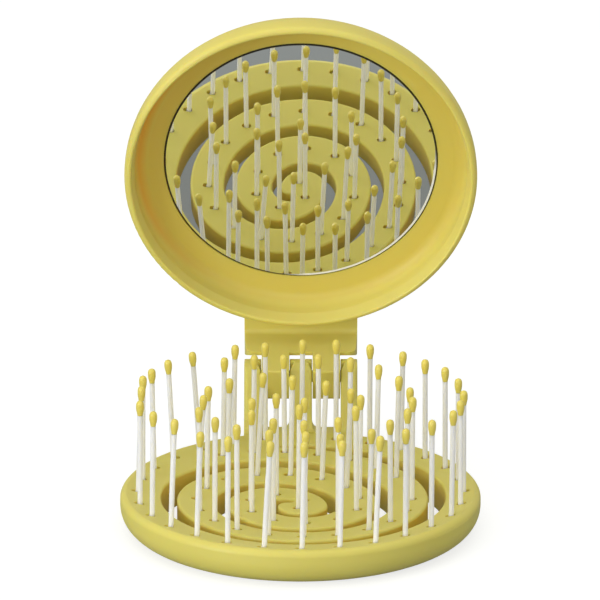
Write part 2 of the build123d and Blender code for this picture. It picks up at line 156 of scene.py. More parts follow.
@dataclass(frozen=True)
class MouldedPolypropylene:
    """Injection-moulded polypropylene: satin, with a fine even mould grain and faint flow clouds.

    The surface scatters light only a little way below its face. Two painted tones inside the dish
    stand in
    for the rest: the wall tone is painted bounce light between the walls, and the glow tone is
    painted light that comes through the wall. Both painted tones belong to the surface and turn with
    the lid.

    Attributes:
        name: The material's name.
        dish_centre: The point that the dish is round, in metres.
        dish_facing: The way that the dish opens.
        dish_radius_mm: Where the dish ends, measured from its axis.
        painted_bounce_colour: The painted tone inside the dish, for bounce light between its walls.
        wall_turn: How far the surface faces the opening, as a cosine, from where the tones are
            nought to where they are whole. The lid's takes in the whole inside of its dish.
        painted_glow_colour: The painted tone of a wall, for light that comes through it.
        outward_mm: How far out from the dish's centre a surface's plane may lie and still take the
            tones. The lid's outer walls lie further out; the base's figure sets no limit.
        colour: The plastic's own colour.
        cloud_colour: The colour in the flow clouds.
        roughness: The middle of its gloss, and ior its index of refraction.
        scatter: How much light enters the surface, scatter_mm how far, scatter_share by colour.
        grain_pitch_mm: The mould grain, with its height and the bump's strength.
        cloud_size_mm: How wide a flow cloud is.
        wall_blend_mm: How wide the edges of the tones are.
        back_turn: As wall_turn, for surfaces that face away from the opening.
        glow_towards: The way that a wall faces where light through it is painted.
        glow_turn: How far it faces that way, from where the painted glow is nought to where it is
            whole.
        grain_span: The grain's lowest and highest values that reach the gloss.
        roughness_span: How far the grain lowers and raises the roughness.
    """

    name: str
    dish_centre: tuple[float, float, float]
    dish_facing: tuple[float, float, float]
    dish_radius_mm: float
    painted_bounce_colour: str
    wall_turn: tuple[float, float]
    painted_glow_colour: str
    outward_mm: float
    colour: str = "DBD16D"
    cloud_colour: str = "D6CB63"
    roughness: float = 0.48
    ior: float = 1.49
    scatter: float = 0.5
    scatter_mm: float = 2.0
    scatter_share: tuple[float, float, float] = (1.0, 0.72, 0.2)
    grain_pitch_mm: float = 0.35
    grain_height_mm: float = 0.006
    grain_strength: float = 0.35
    cloud_size_mm: float = 22.0
    wall_blend_mm: float = 1.2
    back_turn: tuple[float, float] = (-0.1, 0.0)
    glow_towards: tuple[float, float, float] = (0.85, 0.0, -0.5)
    glow_turn: tuple[float, float] = (0.15, 0.85)
    grain_span: tuple[float, float] = (0.3, 0.7)
    roughness_span: tuple[float, float] = (0.04, 0.05)

    def painted_tone_share(self, tree: Tree, place: Socket, turn: Socket) -> Socket:
        """Find where the painted tones go: how far a point belongs to the inside of the dish and
        faces as its walls do.

        Args:
            tree: The shader tree.
            place: Object coordinates.
            turn: The surface's normal on Object coordinates.

        Returns:
            The share, from nought to one.
        """
        arm = add_node(
            tree,
            "ShaderNodeVectorMath",
            settings={"operation": "SUBTRACT"},
            inputs={0: place, 1: self.dish_centre},
        )
        across = add_node(
            tree,
            "ShaderNodeVectorMath",
            settings={"operation": "CROSS_PRODUCT"},
            inputs={0: arm.outputs["Vector"], 1: self.dish_facing},
        )
        radius = add_node(
            tree,
            "ShaderNodeVectorMath",
            settings={"operation": "LENGTH"},
            inputs={0: across.outputs["Vector"]},
        )
        facing = add_node(
            tree,
            "ShaderNodeVectorMath",
            settings={"operation": "DOT_PRODUCT"},
            inputs={0: turn, 1: self.dish_facing},
        )
        outward = add_node(
            tree,
            "ShaderNodeVectorMath",
            settings={"operation": "DOT_PRODUCT"},
            inputs={0: arm.outputs["Vector"], 1: turn},
        )
        edge, reach, blend = self.dish_radius_mm * MM, self.outward_mm * MM, self.wall_blend_mm * MM
        limits = (
            (radius, (edge, edge - blend)),
            (outward, (reach + blend, reach)),
            (facing, self.back_turn),
            (facing, self.wall_turn),
        )
        first, *others = [
            add_node(
                tree,
                "ShaderNodeMapRange",
                inputs={"Value": measured.outputs["Value"], "From Min": nought, "From Max": one},
            ).outputs["Result"]
            for measured, (nought, one) in limits
        ]
        share = first
        for part in others:
            share = add_node(
                tree,
                "ShaderNodeMath",
                settings={"operation": "MULTIPLY"},
                inputs={0: share, 1: part},
            ).outputs[0]
        return share

    def material(self) -> bpy.types.Material:
        """Build the plastic: clouds and painted tones in its colour, grain in its bump and
        roughness.
        """
        mat, tree = blank_material(self.name)
        coordinates = add_node(tree, "ShaderNodeTexCoord").outputs
        place, turn = coordinates["Object"], coordinates["Normal"]
        clouds = add_node(
            tree,
            "ShaderNodeTexNoise",
            inputs={
                "Vector": place,
                "Scale": 1 / (self.cloud_size_mm * MM),
                "Detail": 2.0,
                "Roughness": 0.4,
            },
        )
        tint = add_node(
            tree,
            "ShaderNodeMix",
            settings={"data_type": "RGBA"},
            inputs={
                0: clouds.outputs["Fac"],
                6: linear(self.colour),
                7: linear(self.cloud_colour),
            },
        )
        # Painted light: the wall tone is painted bounce light, mixed in where the surface lies
        # inside the dish and faces as its walls do.
        share = self.painted_tone_share(tree, place, turn)
        toned = add_node(
            tree,
            "ShaderNodeMix",
            settings={"data_type": "RGBA"},
            inputs={0: share, 6: tint.outputs[2], 7: linear(self.painted_bounce_colour)},
        )
        # Painted light: the glow tone is painted light through the wall, set by which way the
        # surface faces, not by the lamps.
        turned = add_node(
            tree,
            "ShaderNodeVectorMath",
            settings={"operation": "DOT_PRODUCT"},
            inputs={0: turn, 1: self.glow_towards},
        )
        through = add_node(
            tree,
            "ShaderNodeMapRange",
            inputs={
                "Value": turned.outputs["Value"],
                "From Min": self.glow_turn[0],
                "From Max": self.glow_turn[1],
            },
        )
        glow = add_node(
            tree,
            "ShaderNodeMath",
            settings={"operation": "MULTIPLY"},
            inputs={0: share, 1: through.outputs["Result"]},
        )
        lit = add_node(
            tree,
            "ShaderNodeMix",
            settings={"data_type": "RGBA"},
            inputs={0: glow.outputs[0], 6: toned.outputs[2], 7: linear(self.painted_glow_colour)},
        )
        grain = add_node(
            tree,
            "ShaderNodeTexNoise",
            inputs={
                "Vector": place,
                "Scale": 1 / (self.grain_pitch_mm * MM),
                "Detail": 3.0,
                "Roughness": 0.6,
            },
        )
        gloss = add_node(
            tree,
            "ShaderNodeMapRange",
            inputs={
                "Value": grain.outputs["Fac"],
                "From Min": self.grain_span[0],
                "From Max": self.grain_span[1],
                "To Min": self.roughness - self.roughness_span[0],
                "To Max": self.roughness + self.roughness_span[1],
            },
        )
        bump = add_node(
            tree,
            "ShaderNodeBump",
            inputs={
                "Height": grain.outputs["Fac"],
                "Strength": self.grain_strength,
                "Distance": self.grain_height_mm * MM,
            },
        )
        shader = add_node(
            tree,
            "ShaderNodeBsdfPrincipled",
            inputs={
                "Base Color": lit.outputs[2],
                "Roughness": gloss.outputs["Result"],
                "IOR": self.ior,
                "Subsurface Weight": self.scatter,
                "Subsurface Radius": self.scatter_share,
                "Subsurface Scale": self.scatter_mm * MM,
                "Normal": bump.outputs["Normal"],
            },
        )
        add_node(tree, "ShaderNodeOutputMaterial", inputs={"Surface": shader.outputs["BSDF"]})
        return mat


@dataclass(frozen=True)
class DrawnNylon:
    """Drawn nylon 6 monofilament: milky white, lets light through, fine lines along its length.

    The lines are drawn 0.2 mm apart, coarser than real ones, so that they show in the gloss.
    """

    name: str = "nylon_white_drawn"
    colour: str = "F9F7F1"
    roughness: float = 0.4
    ior: float = 1.53
    scatter: float = 1.0
    scatter_mm: float = 2.2
    scatter_share: tuple[float, float, float] = (1.0, 0.95, 0.8)
    line_pitch_mm: float = 0.2
    line_length_mm: float = 14.0
    roughness_span: float = 0.08

    def material(self) -> bpy.types.Material:
        """Build the nylon with subsurface scatter and streaks drawn out along Z."""
        mat, tree = blank_material(self.name)
        place = add_node(tree, "ShaderNodeTexCoord").outputs["Object"]
        across, along = 1 / (self.line_pitch_mm * MM), 1 / (self.line_length_mm * MM)
        stretched = add_node(
            tree,
            "ShaderNodeMapping",
            inputs={"Vector": place, "Scale": (across, across, along)},
        )
        streaks = add_node(
            tree,
            "ShaderNodeTexNoise",
            inputs={"Vector": stretched.outputs["Vector"], "Scale": 1.0, "Detail": 2.0},
        )
        gloss = add_node(
            tree,
            "ShaderNodeMapRange",
            inputs={
                "Value": streaks.outputs["Fac"],
                "To Min": self.roughness - self.roughness_span,
                "To Max": self.roughness + self.roughness_span,
            },
        )
        shader = add_node(
            tree,
            "ShaderNodeBsdfPrincipled",
            inputs={
                "Base Color": linear(self.colour),
                "Roughness": gloss.outputs["Result"],
                "IOR": self.ior,
                "Subsurface Weight": self.scatter,
                "Subsurface Radius": self.scatter_share,
                "Subsurface Scale": self.scatter_mm * MM,
            },
        )
        add_node(tree, "ShaderNodeOutputMaterial", inputs={"Surface": shader.outputs["BSDF"]})
        return mat


@dataclass(frozen=True)
class DippedEpoxy:
    """Epoxy bead, dipped and cured: semi-gloss deep yellow, with slight waves left by the dip."""

    name: str = "epoxy_yellow_dipped"
    colour: str = "E4D465"
    roughness: float = 0.33
    ior: float = 1.52
    scatter: float = 0.5
    scatter_mm: float = 0.7
    scatter_share: tuple[float, float, float] = (1.0, 0.9, 0.45)
    wave_pitch_mm: float = 1.4286
    wave_height_mm: float = 0.05
    wave_strength: float = 0.3

    def material(self) -> bpy.types.Material:
        """Build the bead finish with the waves of the dip in its bump."""
        mat, tree = blank_material(self.name)
        place = add_node(tree, "ShaderNodeTexCoord").outputs["Object"]
        waves = add_node(
            tree,
            "ShaderNodeTexNoise",
            inputs={"Vector": place, "Scale": 1 / (self.wave_pitch_mm * MM), "Detail": 1.0},
        )
        bump = add_node(
            tree,
            "ShaderNodeBump",
            inputs={
                "Height": waves.outputs["Fac"],
                "Strength": self.wave_strength,
                "Distance": self.wave_height_mm * MM,
            },
        )
        shader = add_node(
            tree,
            "ShaderNodeBsdfPrincipled",
            inputs={
                "Base Color": linear(self.colour),
                "Roughness": self.roughness,
                "IOR": self.ior,
                "Subsurface Weight": self.scatter,
                "Subsurface Radius": self.scatter_share,
                "Subsurface Scale": self.scatter_mm * MM,
                "Normal": bump.outputs["Normal"],
            },
        )
        add_node(tree, "ShaderNodeOutputMaterial", inputs={"Surface": shader.outputs["BSDF"]})
        return mat


@dataclass(frozen=True)
class SilveredGlass:
    """Float glass silvered on its back: a clean mirror face inside a narrow ground border.

    The ground border mirrors little, so it is dark, and a paler tone on one stretch is a painted
    highlight for the light that it catches. The painted highlight belongs to the glass and turns
    with the lid.

    Attributes:
        centre: The middle of the glass, in metres.
        name: The material's name.
        colour: The silvering's tint.
        border_colour: The ground border where it is dark.
        painted_glint_colour: The painted highlight on the ground border, where it would catch the
            lamp.
        roughness: Of the mirror face.
        border_roughness: Of the ground border.
        border_metal: How far the border still mirrors as silvering does.
        radius_mm: Of the glass.
        bevel_mm: The width of the bevel outside the border.
        border_mm: The width of the border where its highlight is painted.
        dark_width: The width of its dark stretch, as a share of border_mm.
        glint_from: The way from the centre to the stretch with the painted highlight.
        glint_reach: How far a point lies that way, as a cosine, from nought to whole.
        face_turn: How far the surface faces as the mirror does, as a cosine, from nought to whole.
    """

    centre: tuple[float, float, float]
    name: str = "float_glass_silvered"
    colour: str = "F1F3F1"
    border_colour: str = "34352F"
    painted_glint_colour: str = "F8F9F8"
    roughness: float = 0.012
    border_roughness: float = 0.22
    border_metal: float = 0.15
    radius_mm: float = 33.9
    bevel_mm: float = 0.3
    border_mm: float = 0.5
    dark_width: float = 0.2
    glint_from: tuple[float, float, float] = (0.7, 0.2, -0.685)
    glint_reach: tuple[float, float] = (0.6, 0.75)
    face_turn: tuple[float, float] = (0.97, 0.99)

    def material(self) -> bpy.types.Material:
        """Build the mirror; its border is dark but for a stretch with a painted highlight."""
        mat, tree = blank_material(self.name)
        place = add_node(tree, "ShaderNodeTexCoord").outputs
        arm = add_node(
            tree,
            "ShaderNodeVectorMath",
            settings={"operation": "SUBTRACT"},
            inputs={0: place["Object"], 1: self.centre},
        )
        radius = add_node(
            tree,
            "ShaderNodeVectorMath",
            settings={"operation": "LENGTH"},
            inputs={0: arm.outputs["Vector"]},
        )
        outward = add_node(
            tree,
            "ShaderNodeVectorMath",
            settings={"operation": "NORMALIZE"},
            inputs={0: arm.outputs["Vector"]},
        )
        towards = add_node(
            tree,
            "ShaderNodeVectorMath",
            settings={"operation": "DOT_PRODUCT"},
            inputs={0: outward.outputs["Vector"], 1: self.glint_from},
        )
        facing = add_node(
            tree,
            "ShaderNodeVectorMath",
            settings={"operation": "DOT_PRODUCT"},
            inputs={0: place["Normal"], 1: MIRROR_FACING},
        )
        # Painted highlight: a pale, wider stretch of the border stands in for the light that it
        # catches.
        glint, flat = [
            add_node(
                tree,
                "ShaderNodeMapRange",
                inputs={"Value": measured.outputs["Value"], "From Min": nought, "From Max": one},
            ).outputs["Result"]
            for measured, (nought, one) in ((towards, self.glint_reach), (facing, self.face_turn))
        ]
        lit = add_node(
            tree,
            "ShaderNodeMath",
            settings={"operation": "MULTIPLY"},
            inputs={0: glint, 1: flat},
        )
        width = add_node(
            tree,
            "ShaderNodeMapRange",
            inputs={
                "Value": lit.outputs[0],
                "To Min": self.dark_width * self.border_mm * MM,
                "To Max": self.border_mm * MM,
            },
        )
        inner = add_node(
            tree,
            "ShaderNodeMath",
            settings={"operation": "SUBTRACT"},
            inputs={0: (self.radius_mm - self.bevel_mm) * MM, 1: width.outputs["Result"]},
        )
        border = add_node(
            tree,
            "ShaderNodeMath",
            settings={"operation": "GREATER_THAN"},
            inputs={0: radius.outputs["Value"], 1: inner.outputs[0]},
        )
        ground = add_node(
            tree,
            "ShaderNodeMix",
            settings={"data_type": "RGBA"},
            inputs={
                0: lit.outputs[0],
                6: linear(self.border_colour),
                7: linear(self.painted_glint_colour),
            },
        )
        tint = add_node(
            tree,
            "ShaderNodeMix",
            settings={"data_type": "RGBA"},
            inputs={0: border.outputs[0], 6: linear(self.colour), 7: ground.outputs[2]},
        )
        gloss = add_node(
            tree,
            "ShaderNodeMapRange",
            inputs={
                "Value": border.outputs[0],
                "To Min": self.roughness,
                "To Max": self.border_roughness,
            },
        )
        metal = add_node(
            tree,
            "ShaderNodeMapRange",
            inputs={"Value": border.outputs[0], "To Min": 1.0, "To Max": self.border_metal},
        )
        shader = add_node(
            tree,
            "ShaderNodeBsdfPrincipled",
            inputs={
                "Base Color": tint.outputs[2],
                "Metallic": metal.outputs["Result"],
                "Roughness": gloss.outputs["Result"],
            },
        )
        add_node(tree, "ShaderNodeOutputMaterial", inputs={"Surface": shader.outputs["BSDF"]})
        return mat


@dataclass(frozen=True)
class DrawnSteel:
    """Drawn stainless wire: bright, with its gloss broken by fine specks."""

    name: str = "stainless_steel_drawn"
    colour: str = "C4C4C6"
    roughness: float = 0.3
    roughness_span: tuple[float, float] = (0.08, 0.12)
    speck_pitch_mm: float = 0.25

    def material(self) -> bpy.types.Material:
        """Build the steel with fine noise in its roughness."""
        mat, tree = blank_material(self.name)
        place = add_node(tree, "ShaderNodeTexCoord").outputs["Object"]
        specks = add_node(
            tree,
            "ShaderNodeTexNoise",
            inputs={"Vector": place, "Scale": 1 / (self.speck_pitch_mm * MM), "Detail": 3.0},
        )
        gloss = add_node(
            tree,
            "ShaderNodeMapRange",
            inputs={
                "Value": specks.outputs["Fac"],
                "To Min": self.roughness - self.roughness_span[0],
                "To Max": self.roughness + self.roughness_span[1],
            },
        )
        shader = add_node(
            tree,
            "ShaderNodeBsdfPrincipled",
            inputs={
                "Base Color": linear(self.colour),
                "Metallic": 1.0,
                "Roughness": gloss.outputs["Result"],
            },
        )
        add_node(tree, "ShaderNodeOutputMaterial", inputs={"Surface": shader.outputs["BSDF"]})
        return mat


@dataclass(frozen=True)
class FoamTape:
    """Acrylic foam tape: dark grey, matte, with fine open cells."""

    name: str = "acrylic_foam_tape"
    colour: str = "3A3B3C"
    roughness: float = 0.85
    cell_pitch_mm: float = 0.25
    cell_depth_mm: float = 0.05
    cell_strength: float = 0.5

    def material(self) -> bpy.types.Material:
        """Build the foam with cells as bump."""
        mat, tree = blank_material(self.name)
        place = add_node(tree, "ShaderNodeTexCoord").outputs["Object"]
        cells = add_node(
            tree,
            "ShaderNodeTexVoronoi",
            inputs={"Vector": place, "Scale": 1 / (self.cell_pitch_mm * MM)},
        )
        bump = add_node(
            tree,
            "ShaderNodeBump",
            inputs={
                "Height": cells.outputs["Distance"],
                "Strength": self.cell_strength,
                "Distance": self.cell_depth_mm * MM,
            },
        )
        shader = add_node(
            tree,
            "ShaderNodeBsdfPrincipled",
            inputs={
                "Base Color": linear(self.colour),
                "Roughness": self.roughness,
                "Normal": bump.outputs["Normal"],
            },
        )
        add_node(tree, "ShaderNodeOutputMaterial", inputs={"Surface": shader.outputs["BSDF"]})
        return mat


class FinishSet:
    """The finishes of the brush: one for each material slot of the record, and the lid's plastic.

    Base and lid are the same plastic. The lid's colours are set a little paler than the base's, as
    painted light, to match how the lid looks under this light.
    """

    def __init__(self, dish_centre: Vector) -> None:
        """Build each material once.

        Args:
            dish_centre: The middle of the lid's dish, in metres.
        """
        # Painted light: the lid's paler colours stand in for how it is lit, its wall tone for bounce
        # light in its dish, and its glow tone for light through its wall.
        self.lid_plastic = MouldedPolypropylene(
            name="polypropylene_yellow_lid",
            dish_centre=tuple(dish_centre),
            dish_facing=MIRROR_FACING,
            dish_radius_mm=41.3,
            painted_bounce_colour="D9C65A",
            colour="E2D672",
            cloud_colour="DDD068",
            wall_turn=(1.1, 1.0),
            painted_glow_colour="E4A52E",
            outward_mm=9.0,
        ).material()
        self.by_slot: dict[Slot, bpy.types.Material] = {
            # Painted light: the base's wall tone stands in for bounce light in its dish and slots,
            # and its glow tone for light through its wall.
            Slot.YELLOW: MouldedPolypropylene(
                name="polypropylene_yellow_base",
                dish_centre=(0.0, 0.0, 0.0),
                dish_facing=(0.0, 0.0, 1.0),
                dish_radius_mm=41.0,
                painted_bounce_colour="E2D166",
                wall_turn=(0.45, 0.1),
                painted_glow_colour="E4C752",
                outward_mm=100.0,
            ).material(),
            Slot.NYLON: DrawnNylon().material(),
            Slot.TIP: DippedEpoxy().material(),
            Slot.MIRROR: SilveredGlass(tuple(dish_centre)).material(),
            Slot.PAD: FoamTape().material(),
            Slot.STEEL: DrawnSteel().material(),
        }

    def dress(self, node: bpy.types.Object, finish: bpy.types.Material) -> None:
        """Give a CAD node its finish, in each of its material slots.

        Args:
            node: The CAD node's object.
            finish: The material.
        """
        if not node.data.materials:
            node.data.materials.append(finish)
        for index in range(len(node.data.materials)):
            node.data.materials[index] = finish


@dataclass
class BrushHead:
    """Sizes of the dished base that the bristles stand on, in millimetres."""

    dish_floor: float = 4.95
    dish_radius: float = 41.8
    rim_height: float = 9.1
    arm_start_x: float = 1.9
    arm_first_radius: float = 7.3
    arm_step: float = 6.24

    def surface(self, x: float, y: float) -> float:
        """Height of the dished top at a point.

        Args:
            x: Across, in millimetres.
            y: Towards the hinge, in millimetres.

        Returns:
            The height in millimetres.
        """
        depth = self.rim_height - self.dish_floor
        sphere = (self.dish_radius**2 + depth**2) / (2 * depth)
        return self.dish_floor + sphere - math.sqrt(sphere**2 - x * x - y * y)

    def arm_point(self, distance: float) -> tuple[float, float]:
        """Find a point on the middle of the spiral arm.

        Args:
            distance: Length along the arm from its start, in millimetres.

        Returns:
            The point's x and y in millimetres.
        """
        x, side, radius = self.arm_start_x, 1, self.arm_first_radius
        while distance > math.pi * radius:
            distance -= math.pi * radius
            x -= side * 2 * radius
            side = -side
            radius += self.arm_step
        angle = distance / radius
        return (x - side * radius * (1 - math.cos(angle)), side * radius * math.sin(angle))


@dataclass
class BristleField:
    """The bristle pins and their beads: where they root, how tall they are and how they lean.

    Sizes are in millimetres. lean_across and lean_back say how far each bristle's top stands from
    above its root, to +X and to +Y, one number for each root of rows(). Such bristles stand a
    little askew, and each foot takes its share of that within the play of its recess.
    """

    head: BrushHead
    ring_radius: float = 39.5
    ring_count: int = 28
    centre_pin: tuple[float, float] = (-0.7, -1.9)
    first_pin: float = 3.7
    pitch: float = 8.214
    coil_count: int = 34
    root_depth: float = 2.6
    stand: float = 26.0
    shaft_radius: float = 0.625
    bead_radius: float = 0.98
    bead_length: float = 3.7
    bead_grip: float = 2.2
    bead_spread: float = 0.04
    recess_depth: float = 1.2
    recess_play: float = 0.5
    foot_share: float = 0.5
    bow: float = 1.2
    sides: int = 16
    points: dict[Span, int] = field(default_factory=lambda: {Span.SHAFT: 25, Span.TIP: 15})
    profile: dict[Span, tuple[tuple[float, float], ...]] = field(
        default_factory=lambda: {
            Span.SHAFT: ((0.0, 1.0), (1.0, 1.0)),
            Span.TIP: ((0.0, 0.66), (0.15, 0.76), (0.35, 0.93), (0.55, 1.0))
            + ((0.75, 0.97), (0.9, 0.76), (1.0, 0.14)),
        }
    )
    seed: int = 7
    lean_across: dict[str, tuple[float, ...]] = field(
        default_factory=lambda: {
            "outer_ring": (1.0, 1.0, 1.5, 0.0, 0.0, 0.5, -0.5, -0.5, -0.5, -0.5)
            + (-0.5, 0.5, 0.0, 0.0, 0.5, 0.0, 1.0, -2.0, -1.5, -0.5)
            + (0.5, 1.5, 0.5, 1.0, 1.5, 1.5, 0.5, 2.0),
            "outer_coil": (0.5, 1.0, 1.0, 0.5, 0.0, -0.5, 0.5, 1.0),
            "middle_coil": (0.5, 1.5, 1.5, 1.0, 2.0, 1.0, 1.0, 2.0, 0.0)
            + (0.5, 0.0, 0.5, 1.0, 1.0, 1.0, -0.5, 0.0, 0.0),
            "inner_coil": (0.5, 0.0, 0.0, 0.5, 0.0, 0.0, -0.5, 0.0, -0.5),
        }
    )
    lean_back: dict[str, tuple[float, ...]] = field(
        default_factory=lambda: {
            "outer_ring": (0.5, 0.5, 1.0, 1.5, 1.5, 1.0, 0.0, -1.5, -1.0, -0.5)
            + (-2.0, -2.0, -1.0, 0.0, -1.0, -2.5, -1.5, -2.5, -2.5, -2.0)
            + (1.0, 2.0, -0.5, 0.0, 2.0, -1.0, 0.5, 0.0),
            "outer_coil": (-1.0, 0.0, 2.0, 2.0, 0.5, -2.0, -2.5, -2.5),
            "middle_coil": (1.0, -2.0, -2.0, -1.0, 1.0, 0.0, 0.0, 1.0, 0.0)
            + (0.0, 0.5, 0.5, 0.5, -2.5, -2.5, -1.5, -0.5, 0.0),
            "inner_coil": (1.0, 0.5, -0.5, 0.0, -1.0, -1.0, -0.5, -1.0, 1.0),
        }
    )

    def rows(self) -> dict[str, list[tuple[float, float]]]:
        """Find the roots of each row.

        Returns:
            The roots in millimetres, by the row's name.
        """
        head = self.head
        ring = [
            (self.ring_radius * math.cos(a), self.ring_radius * math.sin(a))
            for a in (math.radians(-90 + 360 * i / self.ring_count) for i in range(self.ring_count))
        ]
        first_turn = 2 * math.pi * (head.arm_first_radius + head.arm_step / 2)
        second_turn = first_turn + 2 * math.pi * (head.arm_first_radius + head.arm_step * 5 / 2)
        along = [self.first_pin + i * self.pitch for i in range(self.coil_count)]
        return {
            "outer_ring": ring,
            "outer_coil": [head.arm_point(d) for d in along if d >= second_turn],
            "middle_coil": [head.arm_point(d) for d in along if first_turn <= d < second_turn],
            "inner_coil": [self.centre_pin] + [head.arm_point(d) for d in along if d < first_turn],
        }

    def tree(self, span: Span) -> Tree:
        """Build the node tree that grows one stretch of bristle on each root.

        Args:
            span: The shaft or the bead.

        Returns:
            The geometry tree, with its sizes as named inputs in metres.
        """
        tree = bpy.data.node_groups.new("bristle_" + span.value, "GeometryNodeTree")
        face = tree.interface
        face.new_socket("Roots", in_out="INPUT", socket_type="NodeSocketGeometry")
        for name in ("From", "To", "Stand", "Radius", "Recess", "Spread"):
            face.new_socket(name, in_out="INPUT", socket_type="NodeSocketFloat")
        face.new_socket("Seed", in_out="INPUT", socket_type="NodeSocketInt")
        face.new_socket("Finish", in_out="INPUT", socket_type="NodeSocketMaterial")
        face.new_socket("Bristles", in_out="OUTPUT", socket_type="NodeSocketGeometry")
        given = add_node(tree, "NodeGroupInput").outputs
        bent = add_node(
            tree,
            "GeometryNodeSetPosition",
            inputs={
                "Geometry": self.stand_lines(tree, given, span),
                "Offset": self.lean_offset(tree, given),
            },
        )
        ring = add_node(
            tree,
            "GeometryNodeCurvePrimitiveCircle",
            inputs={"Resolution": self.sides, "Radius": 1.0},
        )
        tube = add_node(
            tree,
            "GeometryNodeCurveToMesh",
            inputs={
                "Curve": bent.outputs["Geometry"],
                "Profile Curve": ring.outputs["Curve"],
                "Scale": self.thickness(tree, given, span),
                "Fill Caps": True,
            },
        )
        smooth = add_node(
            tree,
            "GeometryNodeSetShadeSmooth",
            inputs={"Geometry": tube.outputs["Mesh"]},
        )
        solid = add_node(
            tree,
            "GeometryNodeRealizeInstances",
            inputs={"Geometry": smooth.outputs["Geometry"]},
        )
        dressed = add_node(
            tree,
            "GeometryNodeSetMaterial",
            inputs={"Geometry": solid.outputs["Geometry"], "Material": given["Finish"]},
        )
        add_node(tree, "NodeGroupOutput", inputs={0: dressed.outputs["Geometry"]})
        return tree

    def stand_lines(self, tree: Tree, given: Sockets, span: Span) -> Socket:
        """Stand an upright line on each root, marked with its height and its girth.

        Args:
            tree: The geometry tree.
            given: The tree's inputs.
            span: The shaft or the bead.

        Returns:
            The lines' geometry.
        """
        smallest = add_node(
            tree,
            "ShaderNodeMath",
            settings={"operation": "SUBTRACT"},
            inputs={0: 1.0, 1: given["Spread"]},
        )
        girth = add_node(
            tree,
            "FunctionNodeRandomValue",
            settings={"data_type": "FLOAT"},
            inputs={2: smallest.outputs[0], 3: 1.0, "Seed": given["Seed"]},
        )
        kept = add_node(
            tree,
            "GeometryNodeStoreNamedAttribute",
            settings={"data_type": "FLOAT", "domain": "POINT"},
            inputs={"Geometry": given["Roots"], "Name": "girth", "Value": girth.outputs[1]},
        )
        low = add_node(tree, "ShaderNodeCombineXYZ", inputs={"Z": given["From"]})
        high = add_node(tree, "ShaderNodeCombineXYZ", inputs={"Z": given["To"]})
        line = add_node(
            tree,
            "GeometryNodeCurvePrimitiveLine",
            inputs={"Start": low.outputs[0], "End": high.outputs[0]},
        )
        steps = add_node(
            tree,
            "GeometryNodeResampleCurve",
            inputs={"Curve": line.outputs["Curve"], "Count": self.points[span]},
        )
        height = add_node(tree, "GeometryNodeInputPosition")
        split = add_node(tree, "ShaderNodeSeparateXYZ", inputs={"Vector": height.outputs[0]})
        marked = add_node(
            tree,
            "GeometryNodeStoreNamedAttribute",
            settings={"data_type": "FLOAT", "domain": "POINT"},
            inputs={"Geometry": steps.outputs["Curve"], "Name": "up", "Value": split.outputs["Z"]},
        )
        copies = add_node(
            tree,
            "GeometryNodeInstanceOnPoints",
            inputs={"Points": kept.outputs["Geometry"], "Instance": marked.outputs["Geometry"]},
        )
        real = add_node(
            tree,
            "GeometryNodeRealizeInstances",
            inputs={"Geometry": copies.outputs["Instances"]},
        )
        return real.outputs["Geometry"]

    def lean_offset(self, tree: Tree, given: Sockets) -> Socket:
        """Find how far the lean and the foot's shift carry each point sideways.

        Args:
            tree: The geometry tree.
            given: The tree's inputs.

        Returns:
            The offset, in metres.
        """
        up = add_node(
            tree,
            "GeometryNodeInputNamedAttribute",
            settings={"data_type": "FLOAT"},
            inputs={"Name": "up"},
        )
        lean = add_node(
            tree,
            "GeometryNodeInputNamedAttribute",
            settings={"data_type": "FLOAT_VECTOR"},
            inputs={"Name": "lean"},
        )
        share = add_node(
            tree,
            "ShaderNodeMath",
            settings={"operation": "DIVIDE"},
            inputs={0: up.outputs["Attribute"], 1: given["Stand"]},
        )
        rise = add_node(
            tree,
            "ShaderNodeMath",
            settings={"operation": "MAXIMUM"},
            inputs={0: share.outputs[0], 1: 0.0},
        )
        curve = add_node(
            tree,
            "ShaderNodeMath",
            settings={"operation": "POWER"},
            inputs={0: rise.outputs[0], 1: self.bow},
        )
        swung = add_node(
            tree,
            "ShaderNodeVectorMath",
            settings={"operation": "SCALE"},
            inputs={0: lean.outputs["Attribute"], "Scale": curve.outputs[0]},
        )
        foot = add_node(
            tree,
            "GeometryNodeInputNamedAttribute",
            settings={"data_type": "FLOAT_VECTOR"},
            inputs={"Name": "foot"},
        )
        depth = add_node(
            tree,
            "ShaderNodeMath",
            settings={"operation": "MULTIPLY"},
            inputs={0: given["Recess"], 1: -1.0},
        )
        risen = add_node(
            tree,
            "ShaderNodeMapRange",
            inputs={
                "Value": up.outputs["Attribute"],
                "From Min": depth.outputs[0],
                "From Max": 0.0,
            },
        )
        stepped = add_node(
            tree,
            "ShaderNodeVectorMath",
            settings={"operation": "SCALE"},
            inputs={0: foot.outputs["Attribute"], "Scale": risen.outputs["Result"]},
        )
        shift = add_node(
            tree,
            "ShaderNodeVectorMath",
            settings={"operation": "ADD"},
            inputs={0: swung.outputs[0], 1: stepped.outputs[0]},
        )
        return shift.outputs[0]

